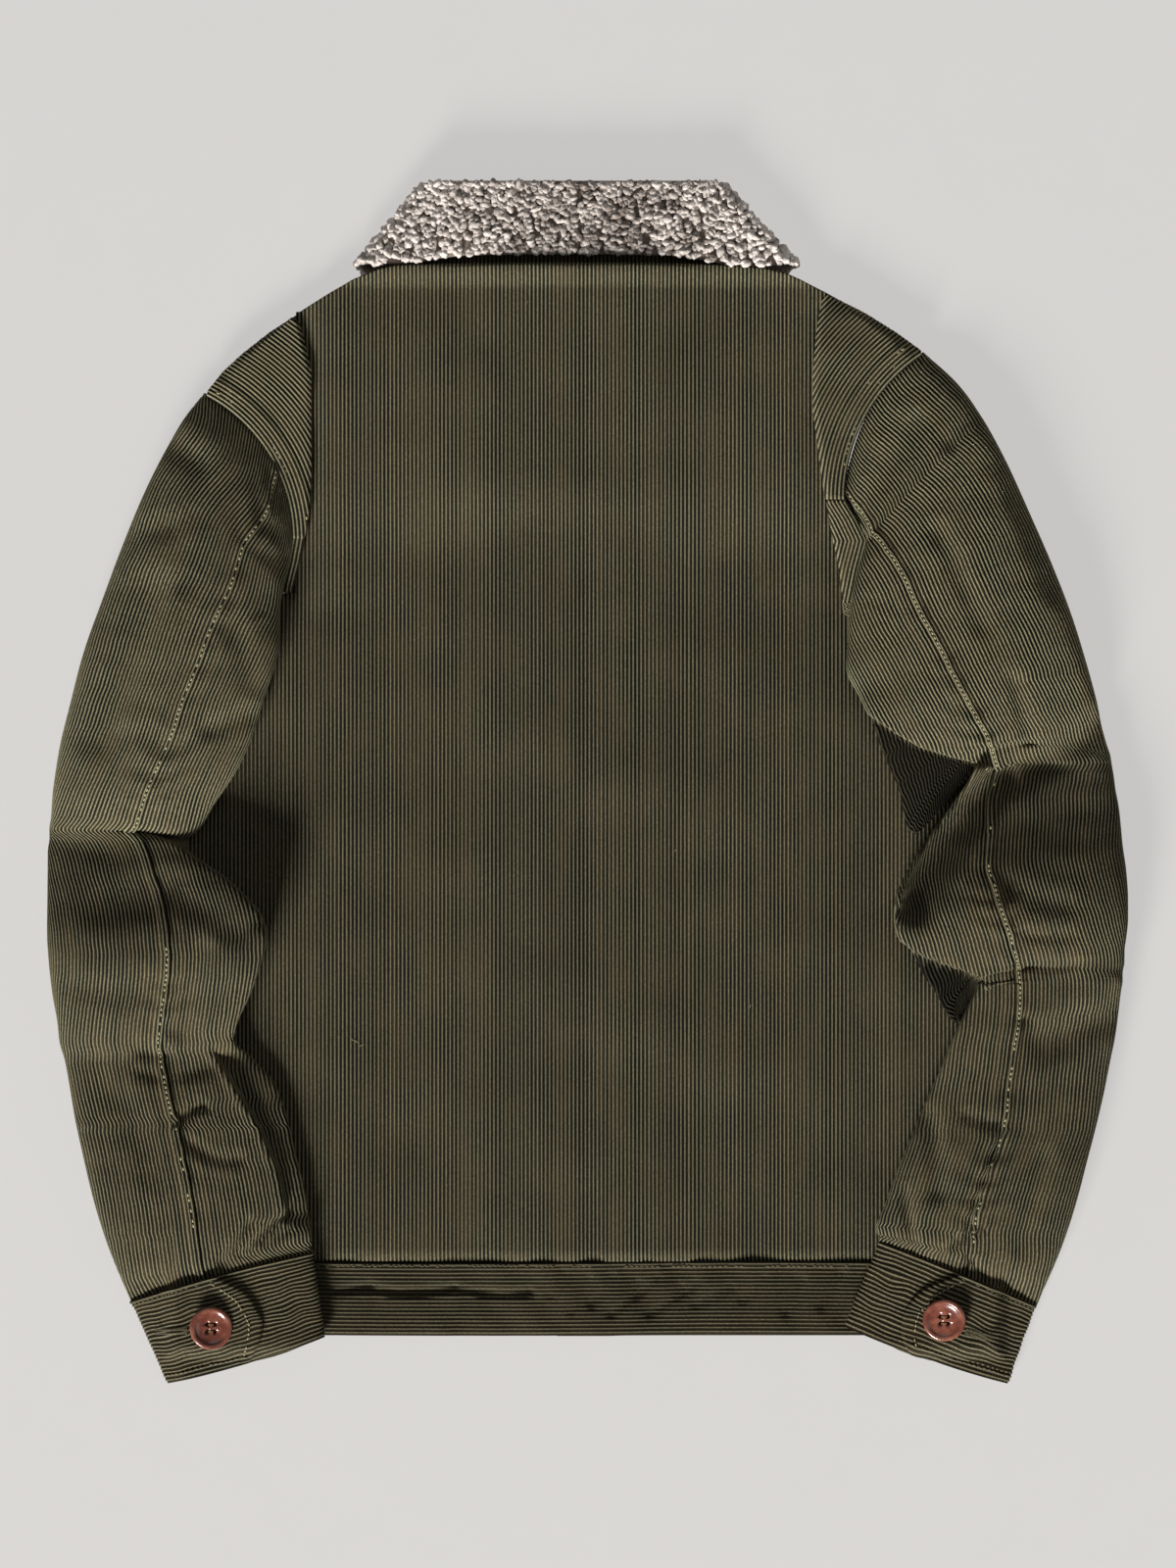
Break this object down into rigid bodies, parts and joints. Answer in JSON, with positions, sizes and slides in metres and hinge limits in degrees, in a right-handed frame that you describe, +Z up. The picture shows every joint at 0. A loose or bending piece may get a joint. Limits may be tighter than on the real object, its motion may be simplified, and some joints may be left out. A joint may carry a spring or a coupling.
{
  "type": "corduroy jacket",
  "caption": "Corduroy jacket with a fleece-faced turn-down collar, buttoned tab cuffs and a hem band, laid flat on its front with its back up.",
  "frame": {"origin": "middle of the jacket's outline as it lies, on the surface that it lies on", "axes": "+Y to the collar, +Z up from the surface to the jacket's back, +X to the wearer's right"},
  "size_m": [0.636, 0.71, 0.039],
  "materials": {
    "corduroy": "ribbed cotton pile, matt",
    "corduroy_bands": "ribbed cotton pile with the ribs across, matt",
    "fleece": "curled fleece pile",
    "button": "polished"
  },
  "bodies": {
    "root": {"back_panel": "corduroy", "hem_band_back": "corduroy_bands", "front_left_panel": "corduroy", "front_right_panel": "corduroy", "hem_band_front_left": "corduroy_bands", "hem_band_front_right": "corduroy_bands", "sleeve_left_top": "corduroy", "sleeve_left_under": "corduroy", "sleeve_right_top": "corduroy", "sleeve_right_under": "corduroy", "cuff_left": "corduroy_bands", "cuff_right": "corduroy_bands", "cuff_button_left": "button", "cuff_button_right": "button", "front_button_1": "button", "front_button_2": "button", "front_button_3": "button", "front_button_4": "button", "front_button_5": "button", "collar_leaf": "fleece", "collar_stand": "corduroy_bands"}
  },
  "joints": []
}
